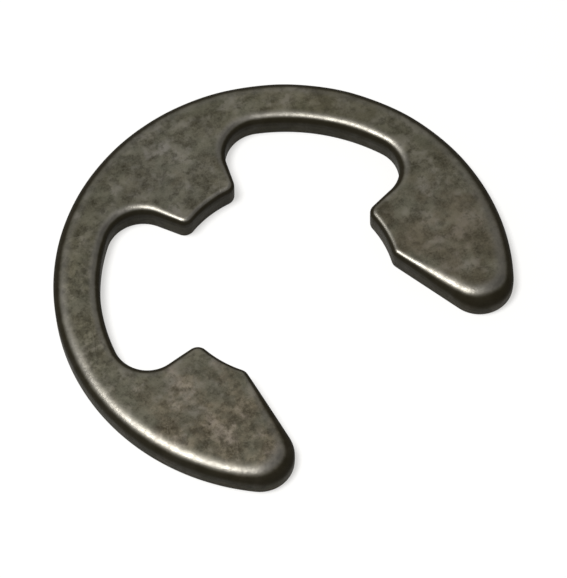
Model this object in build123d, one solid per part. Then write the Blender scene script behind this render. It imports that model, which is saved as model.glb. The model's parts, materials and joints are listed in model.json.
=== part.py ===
"""E clip: a one-piece retaining ring that snaps sideways into a groove on a shaft.

The clip is blanked from spring steel strip. Three prongs point inwards, and their tips lie on one
circle, the seat, which is the floor of the shaft's groove. Two lobes between the prongs let the arms
spring open. A throat between the two end prongs, with a flared lead-in, takes the shaft from the side.

Frame: the origin is on the shaft's axis, at the lower face. +Z goes up through the thickness, the
centre prong is on +Y and the throat opens towards -Y. A bearing is an angle about the axis, measured
clockwise from the centre prong as seen from above.
"""
from build123d import *
import os
from math import asin, cos, degrees, radians, sin, sqrt

# Driving dimensions, in millimetres and degrees.
seat_diameter = 6.0         # circle through the three prong tips
outer_diameter = 12.3
thickness = 0.7
throat_width = 5.26         # between the lower corners of the end prongs

arm_width = 1.255           # of a spring arm, where it is widest
arm_crown_bearing = 36.0    # bearing of that widest place
lobe_offset = 0.28          # from the shaft's axis back to the centre of a lobe's circle

centre_prong_width = 1.75   # across the tip's corners
centre_prong_flare = 24.5   # of each side, away from the prong's own centre line
centre_root_radius = 0.97   # where the centre prong runs into a lobe

end_prong_bearing = 90.0    # of an end prong's upper corner
end_prong_slope = 5.8       # its upper side rises outwards by this angle
end_root_radius = 0.94      # where an end prong runs into a lobe

lead_in_angle = 10.5        # of each side of the mouth, away from -Y
arm_end_radius = 0.92       # rounded foot of each arm, between the lead-in and the outer circle
tip_corner_radius = 0.3     # corners of the prong tips, seen from above

edge_roll = 0.24            # upper edges, drawn round by the punch and by tumbling
edge_break = 0.05           # lower edges, where tumbling takes the burr off

# Sizes that follow from them.
seat_radius = seat_diameter / 2
outer_radius = outer_diameter / 2
lobe_radius = outer_radius - arm_width + lobe_offset
throat_bearing = 180 - degrees(asin(throat_width / seat_diameter))
centre_tip_bearing = degrees(asin(centre_prong_width / seat_diameter))

AXIS = Vector(0, 0)


def heading(bearing):
    """Unit vector that points along a bearing."""
    angle = radians(bearing)
    return Vector(sin(angle), cos(angle))


def nested_centre(start, direction, side, radius, host_centre, host_radius):
    """Centre of a circle that touches a line and, from inside, a host circle.

    The line leaves start along direction. The circle lies on its left where side is +1, and on its
    right where side is -1.
    """
    normal = Vector(-direction.Y, direction.X) * side
    offset = start + normal * radius - host_centre
    along = offset.dot(direction)
    reach = sqrt((host_radius - radius) ** 2 - offset.dot(offset) + along ** 2)
    return host_centre + offset + direction * (reach - along)


def foot_on_line(centre, start, direction):
    """Point of the line from start along direction that is nearest to centre."""
    return start + direction * (centre - start).dot(direction)


def reach_on_circle(host_centre, host_radius, centre):
    """Point where a nested circle with this centre touches its host circle."""
    return host_centre + (centre - host_centre).normalized() * host_radius


def short_arc(centre, start, end):
    """The arc under half a turn from start to end about centre."""
    bisector = (start - centre) + (end - centre)
    middle = centre + bisector.normalized() * (start - centre).length
    return ThreePointArc(start, middle, end)


def lobe_edges():
    """The right-hand lobe: a prong side, a root, the lobe's arc, a root and the other prong's side."""
    lobe_centre = heading(arm_crown_bearing) * -lobe_offset
    centre_corner = heading(centre_tip_bearing) * seat_radius
    centre_side = heading(centre_prong_flare)
    end_corner = heading(end_prong_bearing) * seat_radius
    end_side = heading(90 - end_prong_slope)

    upper = nested_centre(centre_corner, centre_side, -1, centre_root_radius, lobe_centre, lobe_radius)
    lower = nested_centre(end_corner, end_side, 1, end_root_radius, lobe_centre, lobe_radius)
    upper_foot = foot_on_line(upper, centre_corner, centre_side)
    upper_reach = reach_on_circle(lobe_centre, lobe_radius, upper)
    lower_reach = reach_on_circle(lobe_centre, lobe_radius, lower)
    lower_foot = foot_on_line(lower, end_corner, end_side)
    return [
        Line(centre_corner, upper_foot),
        short_arc(upper, upper_foot, upper_reach),
        short_arc(lobe_centre, upper_reach, lower_reach),
        short_arc(lower, lower_reach, lower_foot),
        Line(lower_foot, end_corner),
    ]


def mouth_edges():
    """The right-hand side of the mouth: an end prong's tip, the lead-in and the arm's rounded foot."""
    end_corner = heading(end_prong_bearing) * seat_radius
    throat_corner = heading(throat_bearing) * seat_radius
    lead_in = heading(180 - lead_in_angle)
    foot_centre = nested_centre(throat_corner, lead_in, 1, arm_end_radius, AXIS, outer_radius)
    lead_in_foot = foot_on_line(foot_centre, throat_corner, lead_in)
    outer_reach = reach_on_circle(AXIS, outer_radius, foot_centre)
    return [
        short_arc(AXIS, end_corner, throat_corner),
        Line(throat_corner, lead_in_foot),
        short_arc(foot_centre, lead_in_foot, outer_reach),
    ]


def outline():
    """The blank's outline, alike on both sides of the centre prong, with its tip corners rounded."""
    right = lobe_edges() + mouth_edges()
    left = [mirror(edge, about=Plane.YZ) for edge in right]
    outer_start = right[-1] @ 1
    centre_tip = ThreePointArc(left[0] @ 0, (0, seat_radius), right[0] @ 0)
    rim = ThreePointArc(outer_start, (0, outer_radius), (-outer_start.X, outer_start.Y))
    blank = make_face([centre_tip, *right, rim, *left])
    on_seat = [v for v in blank.vertices() if abs(Vector(v).length - seat_radius) < 1e-6]
    return fillet(on_seat, radius=tip_corner_radius)


def clip():
    """The outline blanked through the strip, rolled round above and broken below."""
    solid = extrude(outline(), amount=thickness)
    solid = fillet(solid.faces().sort_by(Axis.Z)[-1].edges(), radius=edge_roll)
    return chamfer(solid.faces().sort_by(Axis.Z)[0].edges(), length=edge_break)


os.makedirs("parts", exist_ok=True)
export_step(clip(), "parts/e_clip.step")
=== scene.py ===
"""Dresses the e clip: a stamped spring steel retaining ring with a dark phosphate finish.

The clip's skin is one closed surface: a section, from the middle of the lower face out round the edge to
the middle of the upper face, carried round the clip's outline. A bearing is an angle about the shaft's
axis, measured clockwise from the centre prong as seen from above. Lengths are in metres, and angles in
degrees.
"""
import json
from math import asin, cos, degrees, radians, sin, sqrt

import bmesh
import bpy
import numpy as np
from mathutils import Matrix, Vector


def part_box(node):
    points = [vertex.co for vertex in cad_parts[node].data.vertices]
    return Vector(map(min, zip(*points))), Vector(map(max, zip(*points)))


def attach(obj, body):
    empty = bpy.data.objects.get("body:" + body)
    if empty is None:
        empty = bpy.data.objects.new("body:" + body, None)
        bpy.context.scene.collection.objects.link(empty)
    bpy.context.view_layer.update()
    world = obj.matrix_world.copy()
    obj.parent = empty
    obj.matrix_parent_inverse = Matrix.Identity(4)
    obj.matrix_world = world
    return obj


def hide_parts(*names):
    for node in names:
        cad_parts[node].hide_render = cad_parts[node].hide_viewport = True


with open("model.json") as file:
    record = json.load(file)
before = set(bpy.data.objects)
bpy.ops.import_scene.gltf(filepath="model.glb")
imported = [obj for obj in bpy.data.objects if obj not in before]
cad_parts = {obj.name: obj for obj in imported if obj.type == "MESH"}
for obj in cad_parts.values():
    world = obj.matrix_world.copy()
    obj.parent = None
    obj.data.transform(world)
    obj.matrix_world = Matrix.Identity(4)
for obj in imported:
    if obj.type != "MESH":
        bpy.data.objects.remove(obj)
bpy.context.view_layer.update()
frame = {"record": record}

MM = 0.001

# Sizes that the frame gives.
box_low, box_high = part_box("e_clip")
outer_radius = (box_high.x - box_low.x) / 2
thickness = box_high.z - box_low.z
shaft_seat = next(m for m in frame["record"]["mounts"] if m["name"] == "shaft_seat")
seat_radius = shaft_seat["dims"]["r_mm"] * MM

# Sizes of the outline, as in the part's source.
throat_width = 5.26 * MM
arm_width = 1.255 * MM
arm_crown_bearing = 36.0
lobe_offset = 0.28 * MM
centre_prong_width = 1.75 * MM
centre_prong_flare = 24.5
centre_root_radius = 0.97 * MM
end_prong_bearing = 90.0
end_prong_slope = 5.8
end_root_radius = 0.94 * MM
lead_in_angle = 10.5
arm_end_radius = 0.92 * MM
tip_corner_radius = 0.3 * MM

# The rolled upper edge. The first of a pair of sizes holds at the prongs' tips and the second at the
# arms' feet, which were drawn in most. Elsewhere the roll is between the two.
roll_radius = (0.14 * MM, 0.24 * MM)    # radius of curvature where the roll meets the wall
roll_ease = (0.28 * MM, 1.45 * MM)      # how much larger that radius is where the roll leaves the face
ease_power = 5                # how fast that extra radius dies away down the roll
open_roll = 0.42              # share of the way from the first to the second, well away from the tips
outer_roll = 0.7              # the same on the outer circle
outer_blend = 0.3 * MM        # depth over which the one passes to the other
open_reach = 0.2 * MM         # the roll begins to grow this far out from the seat circle
open_fade = 1.5 * MM          # and has grown this much further out
foot_reach = (0.1 * MM, 3.0 * MM)       # a foot's roll holds this far from its middle, inwards and outwards
foot_fade = (3.4 * MM, 4.0 * MM)        # and eases off over this much more
foot_round = 0.12 * MM        # extra radius at the very end of a foot
foot_round_fade = 1.7 * MM    # which eases off over this much each way from its middle
roll_wander = 0.05            # share by which the roll's size wanders along the edge

# The rest of the section.
break_radius = 0.03 * MM      # lower edge
break_turns = (22.5, 45, 67.5)          # where its rows are, from the lower face
land_depth = 0.12 * MM        # smooth sheared band under the roll
land_rows = (0.35, 0.7)       # heights of its rows, as shares of its depth
tear_taper = 0.006 * MM       # the torn band under it draws in this much
tear_depth = 0.006 * MM       # depth of the torn band's furrows
tear_rise = 0.4               # they stand out by no more than this share of the taper
tear_swell = 0.7              # power of the sine that brings them up between the band's edges
furrow_weights = (0.6, 0.5)   # of the coarse and the fine furrows
furrow_lean = 0.05 * MM       # the coarse ones lean this much over the band's height
crown = 0.004 * MM            # fall of the flat upper face towards the roll
face_wave = 0.0015 * MM       # unevenness of the flat upper face

# How each unevenness runs round the outline: its fewest waves, the number they stay under, and its seed.
roll_ripple = (6, 40, 3)
coarse_ripple = (200, 900, 11)
fine_ripple = (500, 1600, 40)           # the seed is the lowest row's, and goes up by one with each row
face_ripple = (10, 120, 90)

# Wear of the roll, set most on the edges that face where the lamp's highlight falls, so that it is partly
# painted highlight; and black, which is painted shade down the roll and, on the cut wall, the wall's own
# dark deepened by painted shade. Both are masks from 0 to 1. The roll's tilt goes from 0 at the face to 90
# at the wall.
wear_and_highlight_bearing = 215.0          # the upper edges that face this way, where the lamp's highlight falls, are rubbed brightest: wear and painted highlight
wear_least_shaded = 0.25             # share of that on those that face away, which stay coated and darker as painted shade
wear_spread = 0.8             # how fast it passes from the one to the other
rubbed_tilt = 40              # the roll is rubbed up to this tilt, and most at half of it
painted_shade_tilts = (20, 41)        # it turns black between these: painted shade where the roll turns from the light
wall_shade_tilts = (60, 90)         # and takes the wall's tone, its own dark and painted shade, between these
foot_early = 0.35             # share by which the tilt counts for more at a foot's end
shade_early_facing_away = 0.8              # the same for an edge that isn't worn at all, so that painted shade comes sooner on edges facing away
wall_black_and_shade = (0.8, 0.45)      # how black the wall is, its own dark tone and painted shade, first in general, then at a foot's end
torn_paler = 0.15             # the torn band has this much less of the black and painted shade

# How finely the skin is divided.
side_steps = 330              # along each side of an arm
foot_steps = 44               # round an arm's foot
station_count = 4 * side_steps + 2 * foot_steps     # all the way round
face_steps = 11               # from the edge to the spine
face_gather = 1.35            # power that gathers them towards the edge
torn_steps = 8                # up the torn band
roll_steps = 20               # over the roll
roll_gather = 1.25            # power that gathers them towards the face
bearing_follow = 0.8          # how far the spine's points keep to the bearings of the inner stations
spine_turn = 0.45             # share of the way along an arm where the spine turns to the foot's centre
RUN_POINTS = 400              # points worked out along each run before they are spaced evenly
RIPPLE_WAVES = 24             # waves added up in a ripple
TILT_STEPS = 720              # of the sums over the roll's tilt
WELD = 1e-9                   # points nearer than this are one

AXIS = np.zeros(2)            # the shaft's axis, seen from above


# ---------------------------------------------------------------- outline

def heading(bearing):
    """Unit vector along a bearing, or an array of them."""
    angle = np.radians(bearing)
    return np.stack([np.sin(angle), np.cos(angle)], axis=-1)


def smooth(value):
    """The cubic step 3v^2 - 2v^3, from 0 to 1."""
    value = np.clip(value, 0, 1)
    return value * value * (3 - 2 * value)


def between(pair, share):
    """The value at a share of the way from the first of a pair to the second."""
    return pair[0] + (pair[1] - pair[0]) * share


def touching_centre(start, direction, side, radius, host, reach):
    """Centre of a circle that touches the line from start along direction and lies reach from host.

    It is the point of the line, shifted sideways by radius (left for side +1), whose distance from
    host is reach: one root of a quadratic in the distance along the line, the one further along.
    """
    normal = np.array([-direction[1], direction[0]]) * side
    offset = start + normal * radius - host
    along = offset @ direction
    return host + offset + direction * (sqrt(reach ** 2 - offset @ offset + along ** 2) - along)


def foot_on_line(centre, start, direction):
    """Point of a line that is nearest to centre."""
    return start + direction * ((centre - start) @ direction)


def towards(host, radius, centre):
    """Point at a radius from host in the direction of centre."""
    ray = centre - host
    return host + ray * (radius / np.hypot(*ray))


def arc_run(centre, start, end, bulges):
    """Points and outward normals on the shorter arc from start to end: centre plus radius times the
    unit vector at an angle that runs evenly. bulges is true where the metal fills the arc's circle."""
    first = start - centre
    last = end - centre
    turn = np.arctan2(first[0] * last[1] - first[1] * last[0], first @ last)
    angle = np.arctan2(first[1], first[0]) + turn * np.linspace(0, 1, RUN_POINTS)
    rays = np.stack([np.cos(angle), np.sin(angle)], axis=-1)
    return centre + np.hypot(*first) * rays, rays if bulges else -rays


def line_run(start, end):
    """Points and outward normals on a line. The metal is on its left, going from start to end."""
    share = np.linspace(0, 1, RUN_POINTS)[:, None]
    ray = (end - start) / np.hypot(*(end - start))
    return start + (end - start) * share, np.tile([ray[1], -ray[0]], (RUN_POINTS, 1))


def lead_in_line():
    """The mouth's right-hand side: the throat's corner, and the direction from there to the arm's foot."""
    corner = heading(180 - degrees(asin(throat_width / 2 / seat_radius))) * seat_radius
    return corner, heading(180 - lead_in_angle)


def foot_centre():
    """Centre of the arm's rounded foot: it touches the lead-in and, from inside, the outer circle."""
    return touching_centre(*lead_in_line(), 1, arm_end_radius, AXIS, outer_radius - arm_end_radius)


def inner_runs():
    """The right-hand inner side, from the middle of the centre prong's tip to the arm's foot."""
    lobe_centre = heading(arm_crown_bearing) * -lobe_offset
    lobe_radius = outer_radius - arm_width + lobe_offset
    corner_reach = seat_radius + tip_corner_radius

    prong_corner = heading(degrees(asin(centre_prong_width / 2 / seat_radius))) * seat_radius
    prong_side = heading(centre_prong_flare)
    prong_round = touching_centre(prong_corner, prong_side, 1, tip_corner_radius, AXIS, corner_reach)
    upper_root = touching_centre(
        prong_corner, prong_side, -1, centre_root_radius, lobe_centre, lobe_radius - centre_root_radius
    )

    end_corner = heading(end_prong_bearing) * seat_radius
    end_side = heading(90 - end_prong_slope)
    end_round = touching_centre(end_corner, end_side, -1, tip_corner_radius, AXIS, corner_reach)
    lower_root = touching_centre(
        end_corner, end_side, 1, end_root_radius, lobe_centre, lobe_radius - end_root_radius
    )

    throat_corner, lead_in = lead_in_line()
    throat_round = touching_centre(throat_corner, lead_in, 1, tip_corner_radius, AXIS, corner_reach)

    tip_middle = heading(0) * seat_radius
    prong_tip = towards(AXIS, seat_radius, prong_round)
    prong_foot = foot_on_line(prong_round, prong_corner, prong_side)
    upper_foot = foot_on_line(upper_root, prong_corner, prong_side)
    upper_reach = towards(lobe_centre, lobe_radius, upper_root)
    lower_reach = towards(lobe_centre, lobe_radius, lower_root)
    lower_foot = foot_on_line(lower_root, end_corner, end_side)
    end_foot = foot_on_line(end_round, end_corner, end_side)
    end_tip = towards(AXIS, seat_radius, end_round)
    throat_tip = towards(AXIS, seat_radius, throat_round)
    throat_foot = foot_on_line(throat_round, throat_corner, lead_in)
    lead_in_end = foot_on_line(foot_centre(), throat_corner, lead_in)
    return [
        arc_run(AXIS, tip_middle, prong_tip, False),
        arc_run(prong_round, prong_tip, prong_foot, True),
        line_run(prong_foot, upper_foot),
        arc_run(upper_root, upper_foot, upper_reach, False),
        arc_run(lobe_centre, upper_reach, lower_reach, False),
        arc_run(lower_root, lower_reach, lower_foot, False),
        line_run(lower_foot, end_foot),
        arc_run(end_round, end_foot, end_tip, True),
        arc_run(AXIS, end_tip, throat_tip, False),
        arc_run(throat_round, throat_tip, throat_foot, True),
        line_run(throat_foot, lead_in_end),
    ]


def spaced(runs, count):
    """count + 1 points at even distances along joined runs, with their normals."""
    points = np.vstack([run[0] for run in runs])
    normals = np.vstack([run[1] for run in runs])
    reached = np.concatenate([[0], np.cumsum(np.hypot(*np.diff(points, axis=0).T))])
    wanted = np.linspace(0, reached[-1], count + 1)
    at = [np.interp(wanted, reached, column) for column in (*points.T, *normals.T)]
    normals = np.stack(at[2:], axis=-1)
    return np.stack(at[:2], axis=-1), normals / np.linalg.norm(normals, axis=-1, keepdims=True)


def stations():
    """The closed outline as stations: edge points, outward normals and the spine point of each.

    The spine runs along the middle of the arms to the centres of their feet. A spine point's bearing
    follows that of the point a foot's radius inside its inner station, made to rise all the way as the
    mean of the highest so far and the lowest still to come, so that the lines to it never cross. The
    outer station of the same number has that bearing too. Those round a foot share the spine's end.
    """
    inner = spaced(inner_runs(), side_steps)
    end = foot_centre()
    foot = spaced([arc_run(end, inner[0][-1], towards(AXIS, outer_radius, end), True)], foot_steps)

    own = np.arctan2(*(inner[0] - inner[1] * arm_end_radius).T)
    rising = np.maximum.accumulate(own) + np.minimum.accumulate(own[::-1])[::-1]
    even = np.linspace(0, 1, side_steps + 1)
    share = bearing_follow * rising / rising[-1] + (1 - bearing_follow) * even
    end_bearing = degrees(np.arctan2(*end))
    bearing = end_bearing * share
    mid_arm = outer_radius - arm_width / 2
    spine_radius = mid_arm + (np.hypot(*end) - mid_arm) * smooth((share - spine_turn) / (1 - spine_turn))
    spine = heading(bearing) * spine_radius[:, None]
    outward = heading(bearing[::-1])

    edge = np.vstack([inner[0], foot[0][1:-1], outward * outer_radius])
    normal = np.vstack([inner[1], foot[1][1:-1], outward])
    hub = np.vstack([spine, np.tile(spine[-1], (foot_steps - 1, 1)), spine[::-1]])
    flip = np.array([-1, 1])
    return [np.vstack([half, half[-2:0:-1] * flip]) for half in (edge, normal, hub)]


# ---------------------------------------------------------------- section and skin

def ripple(along, length, fewest, most, seed):
    """Smooth wandering value near -1 to 1 that closes on itself: a sum of cosines, each with its own phase
    and a whole number of waves in the length, at least fewest and under most."""
    random = np.random.default_rng(seed)
    waves = random.integers(fewest, most, RIPPLE_WAVES)
    phases = random.uniform(0, 2 * np.pi, RIPPLE_WAVES)
    turns = 2 * np.pi * along[:, None] / length * waves + phases
    return np.cos(turns).sum(axis=1) / sqrt(RIPPLE_WAVES)


def roll_sizes(edge, along, length):
    """Radius and ease of the rolled edge at each station, and from 0 to 1 how near that is to the very
    end of a foot.

    The sizes grow with the distance from the seat circle, again on the outer circle, and again with
    nearness along the edge to the middle of a foot. The very end of a foot is rounder still, and all of
    it wanders.
    """
    from_axis = np.hypot(*edge.T)
    drawn = open_roll * smooth((from_axis - seat_radius - open_reach) / open_fade)
    drawn = drawn + (outer_roll - open_roll) * smooth((from_axis - outer_radius + outer_blend) / outer_blend)
    foot_end = np.zeros_like(along)
    middle = side_steps + foot_steps // 2
    for station, way in ((middle, 1), (-middle, -1)):
        gap = way * ((along - along[station] + length / 2) % length - length / 2)
        near = [
            1 - smooth((side * gap - reach) / fade)
            for side, reach, fade in zip((-1, 1), foot_reach, foot_fade)
        ]
        drawn = drawn + (1 - drawn) * np.minimum(*near)
        foot_end = np.maximum(foot_end, 1 - smooth(np.abs(gap) / foot_round_fade))
    wander = 1 + roll_wander * np.clip(ripple(along, length, *roll_ripple) / 2, -1, 1)
    radius = between(roll_radius, drawn) + foot_round * foot_end
    return wander * radius, wander * between(roll_ease, drawn), foot_end


def roll_section(tilts, radius, ease):
    """Inset and drop of the roll at each tilt, in radians, counted from the wall and from the face.

    The radius of curvature at a tilt is radius + ease (1 - tilt / 90 degrees)^ease_power. The drop is the
    integral of that times the sine, from the face on; the inset is the integral times the cosine, from
    there to the wall.
    """
    fine = np.linspace(0, np.pi / 2, TILT_STEPS + 1)
    spread = (1 - fine / fine[-1]) ** ease_power

    def integral(values):
        return np.concatenate([[0], np.cumsum((values[1:] + values[:-1]) / 2 * fine[1])])

    def at(values):
        return np.interp(tilts, fine, values)[:, None]

    across, across_ease = integral(np.cos(fine)), integral(spread * np.cos(fine))
    down, down_ease = integral(np.sin(fine)), integral(spread * np.sin(fine))
    inset = radius * at(across[-1] - across) + ease * at(across_ease[-1] - across_ease)
    return inset, radius * at(down) + ease * at(down_ease)


def roll_masks(tilt, normal, foot_end, wall_and_shade):
    """How far the roll is rubbed bright and how far it is black at each tilt. The rub is wear and, being set
    towards the side where the lamp's highlight falls, partly painted highlight; the black is painted shade.
    The last argument is how black the wall under it is.

    The wear is a smooth step of how squarely an edge faces the wear's bearing. The rub is the wear times
    a squared half wave of the tilt. The black is a smooth step of the tilt, and by the wall another step
    brings it to the wall's own. Both come at less tilt where an edge is less worn, and at a foot's end.
    """
    # Worn most on the edges that face where the lamp's highlight falls: wear, and in part painted highlight.
    worn_and_lit = wear_least_shaded + (1 - wear_least_shaded) * smooth(0.5 + wear_spread * (normal @ heading(wear_and_highlight_bearing)))
    slope = tilt * (1 + foot_early * foot_end + shade_early_facing_away * (1 - worn_and_lit))
    rub_and_highlight = worn_and_lit * np.sin(np.pi * np.clip(slope / rubbed_tilt, 0, 1)) ** 2
    # Painted shade down the roll, sooner on edges that face away from the lamp and at a foot's end.
    painted_shade = smooth((slope - painted_shade_tilts[0]) / (painted_shade_tilts[1] - painted_shade_tilts[0]))
    settled = smooth((tilt - wall_shade_tilts[0]) / (wall_shade_tilts[1] - wall_shade_tilts[0]))
    return rub_and_highlight, painted_shade * (1 - (1 - wall_and_shade) * settled)


def torn_insets(up, along, length):
    """Insets of the torn band at shares of the way up it: a taper, and furrows that are deepest half way.

    The furrows are a coarse ripple that leans along the edge on its way up, and a fine one that is new in
    each row.
    """
    furrow = np.stack([
        furrow_weights[0] * ripple(along + share * furrow_lean, length, *coarse_ripple)
        + furrow_weights[1] * ripple(along, length, *fine_ripple[:2], fine_ripple[2] + row)
        for row, share in enumerate(up[:, 0])
    ])
    furrow = np.maximum(tear_depth * np.sin(np.pi * up) ** tear_swell * furrow, -tear_rise * tear_taper)
    return tear_taper * (1 - up) + furrow


def band(inset, height, share=0.0, roll=0.0, cut_and_shade=0.0):
    """Rows of the section: insets from the wall, heights, shares of the way from there to the spine, and
    the rub mask, partly painted highlight, and the black mask, which is the wall's own dark and painted
    shade, all spread to rows by stations."""
    return np.broadcast_arrays(inset, height, share, roll, cut_and_shade, np.zeros(station_count))[:5]


def skin_grid():
    """The skin's points, rows of the section by stations of the outline, and the masks on them.

    point = edge - normal * inset, then moved by its share of the way to the spine.
    """
    edge, normal, hub = stations()
    steps = np.hypot(*(np.roll(edge, -1, axis=0) - edge).T)
    along = np.concatenate([[0], np.cumsum(steps)[:-1]])
    length = steps.sum()

    shares = np.linspace(0, 1, face_steps + 1)[:, None] ** face_gather
    lower_face = band(break_radius, 0, shares[::-1])

    turn = np.radians(break_turns)[:, None]
    break_inset = tear_taper + break_radius * (1 - np.sin(turn))
    lower_break = band(break_inset, break_radius * (1 - np.cos(turn)), 0, 0, np.sin(turn))

    tilts = 90 * np.linspace(0, 1, roll_steps + 1)[::-1] ** roll_gather
    radius, ease, foot_end = roll_sizes(edge, along, length)
    # How black the wall is: its own dark deepened by painted shade.
    wall_and_shade = between(wall_black_and_shade, foot_end)
    roll_inset, roll_drop = roll_section(np.radians(tilts), radius, ease)
    rub_and_highlight, painted_shade = roll_masks(tilts[:, None], normal, foot_end, wall_and_shade)
    roll = band(roll_inset, thickness - crown - roll_drop, 0, rub_and_highlight, painted_shade)

    up = np.linspace(0, 1, torn_steps + 1)[:, None]
    torn_top = thickness - crown - roll_drop[0] - land_depth
    torn_height = break_radius + (torn_top - break_radius) * up
    torn = band(torn_insets(up, along, length), torn_height, 0, 0, wall_and_shade - torn_paler)
    land = band(0, torn_top + land_depth * np.array(land_rows)[:, None], 0, 0, wall_and_shade)

    wave = face_wave * np.sin(np.pi * shares) * ripple(along, length, *face_ripple)
    fall = crown * (1 - smooth(shares)) + np.maximum(wave, 0)
    upper_face = band(roll_inset[-1], (thickness - fall)[1:], shares[1:])

    bands = (lower_face, lower_break, torn, land, roll, upper_face)
    inset, height, share, rub_and_highlight_rows, cut_and_shade = (np.vstack(rows) for rows in zip(*bands))
    plan = edge - normal * inset[..., None]
    plan = plan + (hub - plan) * share[..., None]
    return np.concatenate([plan, height[..., None]], axis=-1), rub_and_highlight_rows, cut_and_shade


def linked(name, data):
    """A new object in the scene."""
    obj = bpy.data.objects.new(name, data)
    bpy.context.scene.collection.objects.link(obj)
    return obj


def clip_skin():
    """The skin as a mesh: each four neighbours of the grid make a face, and the spines are closed.

    Its attributes are roll, how far it is rubbed, which is wear and in part painted highlight; the black
    mask, how far it is black, which is the wall's own dark and painted shade; and round_arm: the distance
    round the axis, taken at the outer radius, the distance from the axis, and the height.
    """
    points, roll, cut_and_shade = skin_grid()
    rows, count, _ = points.shape
    row, station = np.meshgrid(np.arange(rows - 1), np.arange(count), indexing="ij")
    after = (station + 1) % count
    quads = np.stack(
        [row * count + station, (row + 1) * count + station, (row + 1) * count + after, row * count + after],
        axis=-1,
    ).reshape(-1, 4)

    mesh = bpy.data.meshes.new("clip")
    mesh.from_pydata(points.reshape(-1, 3), [], quads.tolist())
    for name, values in (("roll", roll), ("cut_and_shade", cut_and_shade)):
        attribute = mesh.attributes.new(name, "FLOAT", "POINT")
        attribute.data.foreach_set("value", values.astype(np.float32).ravel())
    radius = np.hypot(points[..., 0], points[..., 1])
    arc_length = np.arctan2(points[..., 0], points[..., 1]) * outer_radius
    round_arm = np.stack([arc_length, radius, points[..., 2]], axis=-1).astype(np.float32)
    mesh.attributes.new("round_arm", "FLOAT_VECTOR", "POINT").data.foreach_set("vector", round_arm.ravel())

    shape = bmesh.new()
    shape.from_mesh(mesh)
    bmesh.ops.remove_doubles(shape, verts=shape.verts, dist=WELD)
    bmesh.ops.recalc_face_normals(shape, faces=shape.faces)
    shape.to_mesh(mesh)
    shape.free()
    mesh.shade_smooth()
    return linked("clip", mesh)


# ---------------------------------------------------------------- materials

# Broad soft patches of the face, each as its bearing, its distance from the axis and its reach, the last
# two in millimetres.
dark_patches = ((322, 5.5, 3.2), (68, 5.7, 3.6), (136, 5.3, 2.2), (346, 5.8, 1.2), (20, 5.7, 1.2))
brown_patches = ((122, 4.9, 3.0), (238, 4.9, 3.0))
pale_patches = ((4, 4.6, 1.0), (113, 4.5, 1.2), (246, 5.0, 2.2), (229, 5.4, 2.0))
cool_patches = ((355, 4.7, 2.6),)
olive_patches = ((48, 5.6, 2.6),)
calm_patches = ((62, 5.6, 2.4), (108, 5.0, 2.2))
rough_patches = ((238, 4.9, 2.8), (284, 5.5, 2.2), (312, 5.6, 2.0))

# Colours of the coat, then of the rubbed roll, which is partly a painted highlight, and of the black on the
# cut wall and the roll, which is the wall's own dark and painted shade, as red, green, blue and alpha.
dark_olive = (0.0412, 0.0408, 0.0270, 1)
pale_olive = (0.0834, 0.0824, 0.0588, 1)
brown_film = (0.098, 0.076, 0.049, 1)
blotch_black = (0.018, 0.0150, 0.0060, 1)
bloom_grey = (0.174, 0.162, 0.139, 1)
mottle_grey = (0.151, 0.142, 0.105, 1)
speck_black = (0.027, 0.0245, 0.015, 1)
crystal_grey = (0.157, 0.147, 0.115, 1)
streak_grey = (0.138, 0.129, 0.098, 1)
scratch_grey = (0.213, 0.202, 0.170, 1)
calm_olive = (0.084, 0.080, 0.059, 1)
bare_steel = (0.218, 0.207, 0.183, 1)
cut_black_and_shade = (0.013, 0.0105, 0.0052, 1)

calm_share = 0.25             # how far a calm patch goes to its own tone
bare_share = 0.9              # how far the coat is gone where the roll is rubbed
bare_metallic = 0.95
black_and_shade_share = 0.93            # how far the black, the wall's own dark and painted shade, covers the wall and the roll's shaded part
coat_roughness = 0.38
relief_depth = 0.004 * MM     # of the crystals, the mottling and the scratches
floor_lift = 0.58             # light added to the floor where the camera or a reflection sees it


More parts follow.
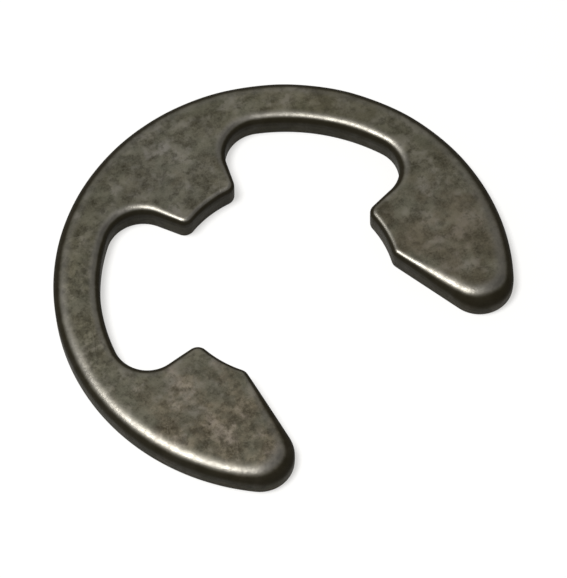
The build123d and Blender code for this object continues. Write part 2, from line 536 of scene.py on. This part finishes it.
class Finish:
    """A node material as it is built up: its shader, and a method for each kind of node.

    A node's inputs are given by name or number, each as a value or as the socket that feeds it.
    """

    def __init__(self, name):
        self.material = bpy.data.materials.new(name)
        self.material.use_nodes = True
        self.tree = self.material.node_tree
        self.shader = self.tree.nodes["Principled BSDF"]

    def give(self, node, inputs):
        """Sets or feeds the inputs of a node."""
        for socket, value in inputs.items():
            if isinstance(value, bpy.types.NodeSocket):
                self.tree.links.new(value, node.inputs[socket])
            else:
                node.inputs[socket].default_value = value

    def add(self, kind, inputs, **settings):
        """A new node of a kind, with its settings made."""
        node = self.tree.nodes.new(kind)
        for key, value in settings.items():
            setattr(node, key, value)
        self.give(node, inputs)
        return node

    def attribute(self, name, output="Fac"):
        """An attribute of the mesh."""
        return self.add("ShaderNodeAttribute", {}, attribute_name=name).outputs[output]

    def math(self, operation, *values):
        """Two or three values worked out into one."""
        return self.add("ShaderNodeMath", dict(enumerate(values)), operation=operation).outputs[0]

    def weighted(self, total, *parts):
        """A first total plus each mask times its weight."""
        for mask, weight in parts:
            total = self.math("MULTIPLY_ADD", mask, weight, total)
        return total

    def mix(self, share, first, second, blend="MIX"):
        """Colours mixed by share. Mix has sockets for each data type, so they are given by number."""
        inputs = {0: share, 6: first, 7: second}
        return self.add("ShaderNodeMix", inputs, data_type="RGBA", blend_type=blend).outputs[2]

    def stretched(self, value, low, high):
        """A smooth step from 0 at low to 1 at high."""
        inputs = {"Value": value, "From Min": low, "From Max": high}
        return self.add("ShaderNodeMapRange", inputs, interpolation_type="SMOOTHSTEP").outputs[0]

    def mapped(self, vector, scale=(1, 1, 1), turn=0.0, shift=(0, 0)):
        """The vector in millimetres, turned about Z by radians, then stretched and shifted."""
        inputs = {"Vector": vector, "Rotation": (0, 0, turn), "Scale": (1 / MM,) * 3}
        turned = self.add("ShaderNodeMapping", inputs).outputs[0]
        inputs = {"Vector": turned, "Scale": scale, "Location": (*shift, 0)}
        return self.add("ShaderNodeMapping", inputs).outputs[0]

    def noise(self, vector, scale, detail, rough, low, high):
        """Noise of about scale spots to a unit of the vector, stretched so that low becomes 0 and high 1."""
        inputs = {"Vector": vector, "Scale": scale, "Detail": detail, "Roughness": rough}
        return self.stretched(self.add("ShaderNodeTexNoise", inputs).outputs["Fac"], low, high)


def coated_colour(steel, place, mottle, crystals, scratches):
    """Colour of the phosphate coat: clouds between two olive greys, and over them the colour of each mask,
    from broad to fine. Each one's number is its share where it is strongest."""
    clouds = steel.noise(steel.mapped(place, shift=(3.1, 7.7)), 0.8, 5.0, 0.6, 0.38, 0.62)
    film = steel.noise(steel.mapped(place, shift=(11.3, 2.9)), 0.9, 3.0, 0.6, 0.44, 0.60)
    blotches = steel.noise(steel.mapped(place, shift=(1.7, 4.1)), 1.7, 4.0, 0.5, 0.44, 0.66)
    bloom = steel.noise(steel.mapped(place, shift=(8.2, 5.6)), 2.1, 4.0, 0.5, 0.48, 0.68)
    specks = steel.noise(steel.mapped(place, shift=(4.4, 9.3)), 4.0, 4.0, 0.65, 0.48, 0.68)
    round_arm = steel.attribute("round_arm", "Vector")
    streaks = steel.noise(steel.mapped(round_arm, (0.22, 9.0, 1.0)), 1.0, 4.0, 0.6, 0.3, 0.7)

    colour = steel.mix(clouds, dark_olive, pale_olive)
    for mask, most, tint in (
        (film, 0.35, brown_film),
        (blotches, 0.92, blotch_black),
        (bloom, 0.86, bloom_grey),
        (mottle, 0.56, mottle_grey),
        (specks, 0.72, speck_black),
        (crystals, 0.32, crystal_grey),
        (streaks, 0.16, streak_grey),
        (scratches, 0.20, scratch_grey),
    ):
        colour = steel.mix(steel.math("MULTIPLY", mask, most), colour, tint)
    return colour


def patched_colour(steel, place, plain, colour):
    """The colour with its broad patches: calm ones, which are nearer to one tone, and then those that
    multiply it. The rough ones have flecks, darker and paler."""
    ragged_edge = steel.noise(steel.mapped(place, shift=(6.3, 1.9)), 1.3, 4.0, 0.6, 0.3, 0.7)
    flecks = steel.noise(steel.mapped(place, shift=(2.2, 6.7)), 3.8, 5.0, 0.72, 0.40, 0.60)

    def patch(bearing, radius, reach):
        """Soft mask about one place of the face, gone at about its reach, where its edge is ragged."""
        middle = (*heading(bearing) * radius, thickness / MM)
        far = steel.add("ShaderNodeVectorMath", {0: plain, 1: middle}, operation="DISTANCE").outputs["Value"]
        ragged = steel.weighted(far, (ragged_edge, reach))
        return steel.stretched(ragged, 1.5 * reach, 0.5 * reach)

    def patches(places):
        """The strongest of several patches."""
        masks = [patch(*one) for one in places]
        while len(masks) > 1:
            masks.append(steel.math("MAXIMUM", masks.pop(), masks.pop()))
        return masks[0]

    calm = steel.math("MULTIPLY", patches(calm_patches), calm_share)
    colour = steel.mix(calm, colour, calm_olive)
    flecked = steel.mix(flecks, (0.70, 0.69, 0.66, 1), (1.32, 1.31, 1.30, 1))
    for places, tint in (
        (rough_patches, flecked),
        (dark_patches, (0.78, 0.78, 0.74, 1)),
        (brown_patches, (0.97, 0.905, 0.88, 1)),
        (pale_patches, (1.17, 1.16, 1.16, 1)),
        (cool_patches, (0.955, 0.965, 1.01, 1)),
        (olive_patches, (0.96, 0.94, 0.87, 1)),
    ):
        colour = steel.mix(patches(places), colour, tint, "MULTIPLY")
    return colour


def spring_steel():
    """Dark olive-grey phosphated and oiled steel: cloudy, finely crystalline, rubbed bright where the edge
    rolls off the face, most on the side where the lamp's highlight falls, so that the rub is partly a
    painted highlight, and nearly black from there down the walls, which is the walls' own dark deepened by
    painted shade."""
    steel = Finish("spring_steel")
    place = steel.add("ShaderNodeTexCoord", {}).outputs["Object"]
    plain = steel.mapped(place)
    mottle = steel.noise(plain, 3.2, 5.0, 0.70, 0.36, 0.64)
    crystals = steel.noise(plain, 16.0, 4.0, 0.75, 0.32, 0.72)
    one_way = steel.mapped(place, (0.35, 26.0, 1.0), turn=0.5)
    other_way = steel.mapped(place, (0.3, 22.0, 1.0), turn=2.2, shift=(5, 9))
    scratches = steel.math(
        "MAXIMUM",
        steel.noise(one_way, 1.0, 2.0, 0.5, 0.66, 0.74),
        steel.noise(other_way, 1.0, 2.0, 0.5, 0.68, 0.76),
    )
    # The black mask: painted shade down the roll, and the wall's own dark with painted shade.
    cut_and_shade = steel.attribute("cut_and_shade")
    # The rub: wear, and on the side where the lamp's highlight falls, painted highlight.
    rub_and_highlight = steel.math("MULTIPLY", steel.attribute("roll"), steel.noise(plain, 7.0, 4.0, 0.6, -0.3, 0.55))

    colour = coated_colour(steel, place, mottle, crystals, scratches)
    colour = patched_colour(steel, place, plain, colour)
    # Bare steel where rubbed, which there is in part a painted highlight.
    colour = steel.mix(steel.math("MULTIPLY", rub_and_highlight, bare_share), colour, bare_steel)
    # Black where that mask says: painted shade, and the wall's own dark.
    colour = steel.mix(steel.math("MULTIPLY", cut_and_shade, black_and_shade_share), colour, cut_black_and_shade)

    roughness = steel.weighted(
        coat_roughness, (mottle, 0.10), (crystals, 0.06), (cut_and_shade, 0.22), (rub_and_highlight, -0.10)
    )
    relief = steel.weighted(0.0, (crystals, 0.5), (mottle, 0.9), (scratches, -0.5))
    bump = steel.add("ShaderNodeBump", {"Strength": 0.5, "Distance": relief_depth, "Height": relief})

    steel.give(steel.shader, {
        "Base Color": colour,
        "Roughness": roughness,
        "Metallic": steel.math("MULTIPLY", rub_and_highlight, bare_metallic),
        "Normal": bump.outputs[0],
        "Specular IOR Level": 0.10,
        "Specular Tint": (1.0, 0.93, 0.76, 1),
    })
    return steel.material


def pale_floor():
    """A plain pale floor that the camera and reflections see a little lighter, so that it reads white."""
    pale = Finish("pale_floor")
    path = pale.add("ShaderNodeLightPath", {}).outputs
    seen = pale.math("MAXIMUM", path["Is Camera Ray"], path["Is Glossy Ray"])
    pale.give(pale.shader, {
        "Base Color": (0.45, 0.45, 0.45, 1),
        "Roughness": 0.9,
        "Specular IOR Level": 0.0,
        "Emission Color": (1.0, 0.992, 0.975, 1),
        "Emission Strength": pale.math("MULTIPLY", seen, floor_lift),
    })
    return pale.material


# ---------------------------------------------------------------- scene

floor_gap = 0.004 * MM        # under the clip
floor_span = 40               # outer radii from the middle to each side
camera_bearing = 221.15       # the camera looks down over the left arm's foot
camera_lean = 29.45           # from straight above
camera_roll = 0.95            # clockwise, as seen from behind it
camera_distance = 105 * MM
camera_lens = 245.5           # focal length in millimetres, for a sensor 36 wide
aim_drop = 0.06               # the view's middle is this share of the outer radius below the axis
key_bearing = 302.0           # the lamp is to the left of the camera
key_lean = 18.0               # from straight above
key_distance = 150 * MM
key_size = 62 * MM
key_power = 0.2               # in watts
world_strength = 0.2
world_colour = (1.0, 0.98, 0.94, 1)


def floor():
    """A wide flat floor just under the clip."""
    span = floor_span * outer_radius
    corners = [(-span, -span), (span, -span), (span, span), (-span, span)]
    mesh = bpy.data.meshes.new("floor")
    mesh.from_pydata([(x, y, -floor_gap) for x, y in corners], [], [(0, 1, 2, 3)])
    mesh.materials.append(pale_floor())
    linked("floor", mesh)


def camera():
    """A long lens that looks, from its bearing, lean and distance, near the middle of the upper face."""
    turn = Matrix.Rotation(radians(camera_bearing - 180), 3, "Z")
    lean = Matrix.Rotation(radians(-camera_lean), 3, "X")
    right, up, back = Matrix.Rotation(radians(camera_roll), 3, "Z") @ lean @ turn
    data = bpy.data.cameras.new("camera")
    data.lens = camera_lens
    data.sensor_width = 36
    data.clip_start = 1 * MM
    data.clip_end = 2
    obj = linked("camera", data)
    aim = Vector((0, 0, thickness)) - up * (aim_drop * outer_radius)
    pose = Matrix((right, up, back)).transposed().to_4x4()
    pose.translation = aim + back * camera_distance
    obj.matrix_world = pose
    bpy.context.scene.camera = obj


def lights():
    """A large soft round lamp that faces the origin, and an even pale world."""
    key = bpy.data.lights.new("key", "AREA")
    key.shape = "DISK"
    key.size = key_size
    key.energy = key_power
    obj = linked("key", key)
    lean = radians(key_lean)
    back = Vector((*heading(key_bearing) * sin(lean), cos(lean)))
    obj.location = back * key_distance
    obj.rotation_euler = back.to_track_quat("Z", "Y").to_euler()

    world = bpy.data.worlds.new("world")
    bpy.context.scene.world = world
    world.use_nodes = True
    background = world.node_tree.nodes["Background"]
    background.inputs["Color"].default_value = world_colour
    background.inputs["Strength"].default_value = world_strength


camera()
lights()
floor()
clip = clip_skin()
clip.data.materials.append(spring_steel())
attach(clip, "root")
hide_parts("e_clip")

bpy.context.scene.view_settings.view_transform = "Standard"
